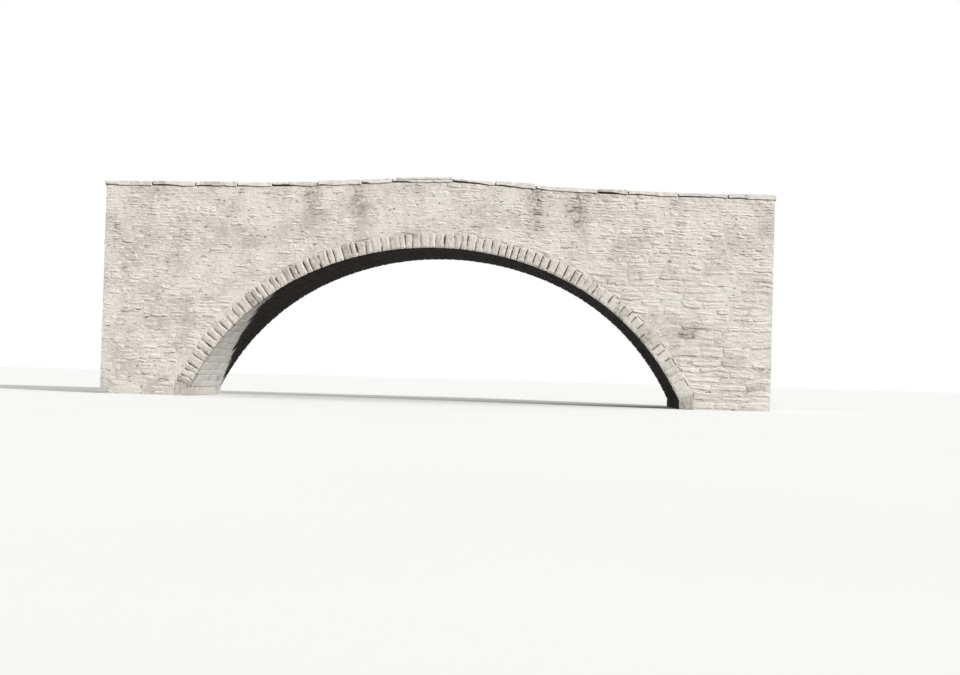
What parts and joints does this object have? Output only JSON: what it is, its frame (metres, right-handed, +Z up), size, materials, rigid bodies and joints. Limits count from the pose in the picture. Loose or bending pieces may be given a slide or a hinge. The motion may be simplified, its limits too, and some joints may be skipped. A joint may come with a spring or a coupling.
{
  "type": "stone arch bridge",
  "caption": "Stone arch bridge with rubble spandrel walls, a dressed arch ring, low parapets under coping flags and a gently humped road.",
  "frame": {"origin": "on the ground line, at the bottom centre of the box: under the crown of the arch and midway between the two faces", "axes": "+X along the bridge to the right as seen from the pictured face, +Y across the bridge away from that face, +Z up"},
  "size_m": [23.1172, 5.63, 7.7588],
  "materials": {
    "rubble_masonry": "matte",
    "dressed_stone": "matte",
    "soffit_stone": "matte",
    "coping_stone": "matte",
    "earth_fill": "matte",
    "road_gravel": "matte"
  },
  "bodies": {
    "root": {"left_skewback": "dressed_stone", "right_skewback": "dressed_stone", "front_arch_ring": "dressed_stone", "back_arch_ring": "dressed_stone", "barrel_vault": "soffit_stone", "left_abutment": "rubble_masonry", "right_abutment": "rubble_masonry", "front_left_spandrel": "rubble_masonry", "front_right_spandrel": "rubble_masonry", "back_left_spandrel": "rubble_masonry", "back_right_spandrel": "rubble_masonry", "front_parapet": "rubble_masonry", "back_parapet": "rubble_masonry", "road_fill": "earth_fill", "roadway": "road_gravel", "front_coping_flag_01": "coping_stone", "front_coping_flag_02": "coping_stone", "front_coping_flag_03": "coping_stone", "front_coping_flag_04": "coping_stone", "front_coping_flag_05": "coping_stone", "front_coping_flag_06": "coping_stone", "front_coping_flag_07": "coping_stone", "front_coping_flag_08": "coping_stone", "front_coping_flag_09": "coping_stone", "front_coping_flag_10": "coping_stone", "front_coping_flag_11": "coping_stone", "front_coping_flag_12": "coping_stone", "front_coping_flag_13": "coping_stone", "front_coping_flag_14": "coping_stone", "front_coping_flag_15": "coping_stone", "back_coping_flag_01": "coping_stone", "back_coping_flag_02": "coping_stone", "back_coping_flag_03": "coping_stone", "back_coping_flag_04": "coping_stone", "back_coping_flag_05": "coping_stone", "back_coping_flag_06": "coping_stone", "back_coping_flag_07": "coping_stone", "back_coping_flag_08": "coping_stone", "back_coping_flag_09": "coping_stone", "back_coping_flag_10": "coping_stone", "back_coping_flag_11": "coping_stone", "back_coping_flag_12": "coping_stone", "back_coping_flag_13": "coping_stone", "back_coping_flag_14": "coping_stone", "back_coping_flag_15": "coping_stone"}
  },
  "joints": []
}
